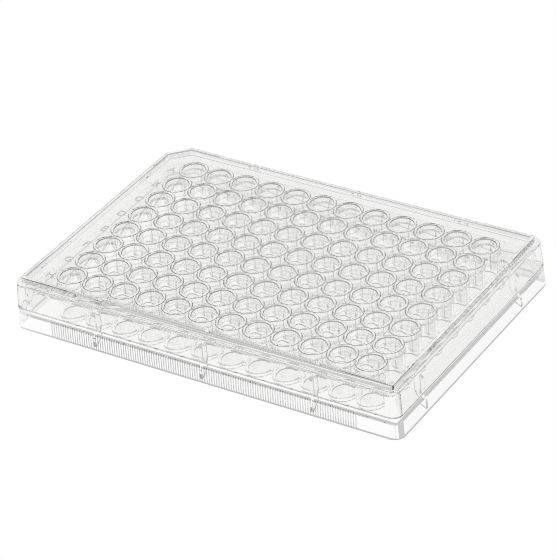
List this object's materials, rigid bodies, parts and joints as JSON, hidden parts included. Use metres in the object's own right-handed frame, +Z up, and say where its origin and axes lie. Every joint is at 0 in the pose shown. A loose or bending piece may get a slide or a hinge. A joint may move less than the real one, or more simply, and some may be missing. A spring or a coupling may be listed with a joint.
{
  "type": "well plate",
  "caption": "Clear flat-bottomed well plate with a ribbed skirt, webs under its ledge and one cut corner, closed by a loose lid with a stacking ridge.",
  "frame": {"origin": "middle of the underside, on the surface that the plate stands on", "axes": "+X along the plate's long side, from the row letters to the last column; +Y along its short side, towards the first row; +Z up"},
  "size_m": [0.1278, 0.0854, 0.0162],
  "materials": {
    "plate": "gloss",
    "lid": "gloss"
  },
  "bodies": {
    "root": {"plate": "plate", "lid": "lid"}
  },
  "joints": []
}
